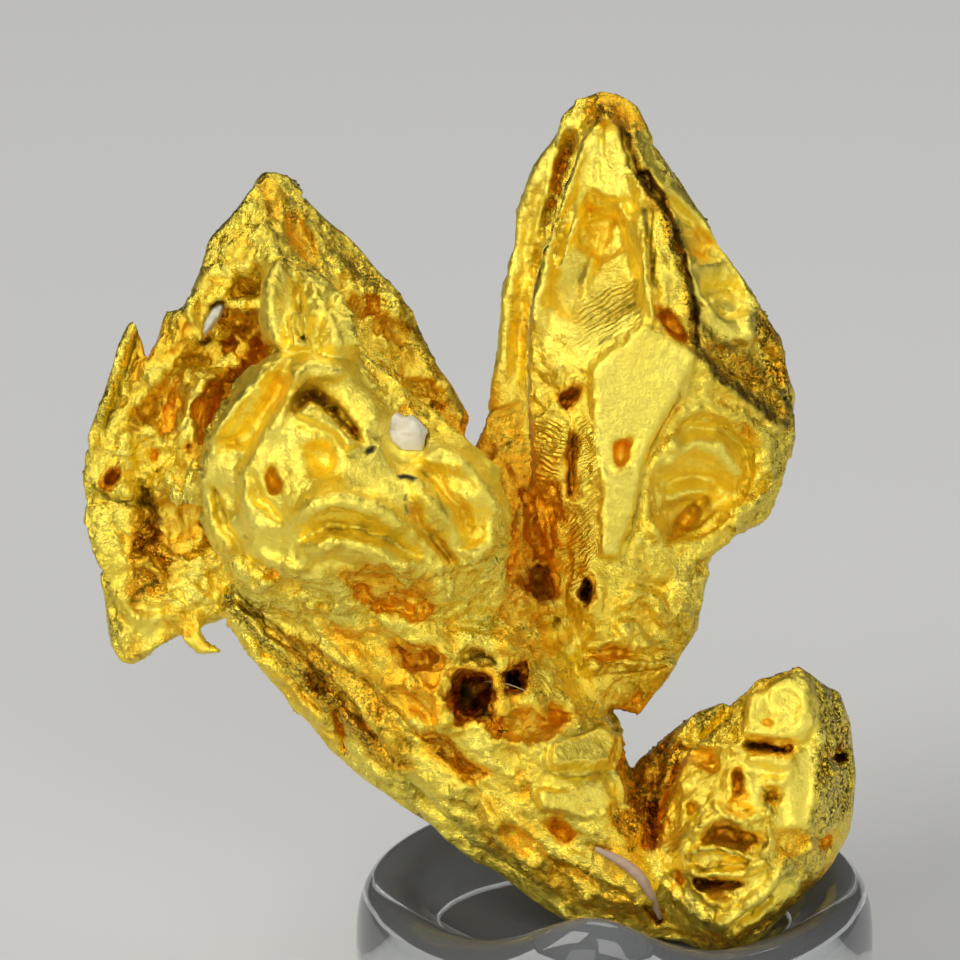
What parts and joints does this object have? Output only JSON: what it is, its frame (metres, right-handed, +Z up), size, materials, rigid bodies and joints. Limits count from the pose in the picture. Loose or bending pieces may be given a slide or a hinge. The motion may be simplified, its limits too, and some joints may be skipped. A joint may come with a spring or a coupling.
{
  "type": "gold crystal specimen",
  "caption": "Natural gold specimen of intergrown hopper crystals with stepped hollow faces and quartz grains, held by its foot in a round clear display pad.",
  "frame": {"origin": "centre of the clear pad's flat underside, on the surface it stands on", "axes": "+Z up, -Y out of the side that faces the viewer, +X to the viewer's right"},
  "size_m": [0.01, 0.0073, 0.0123],
  "materials": {
    "native_gold": "natural crinkled gold, satin on the broad faces and bright on the ridges",
    "clear_gel": "clear and glossy",
    "quartz": "milky, worn"
  },
  "bodies": {
    "root": {"gold_crystals": "native_gold", "clear_stand": "clear_gel", "quartz_grain": "quartz", "quartz_sliver": "quartz"}
  },
  "joints": []
}
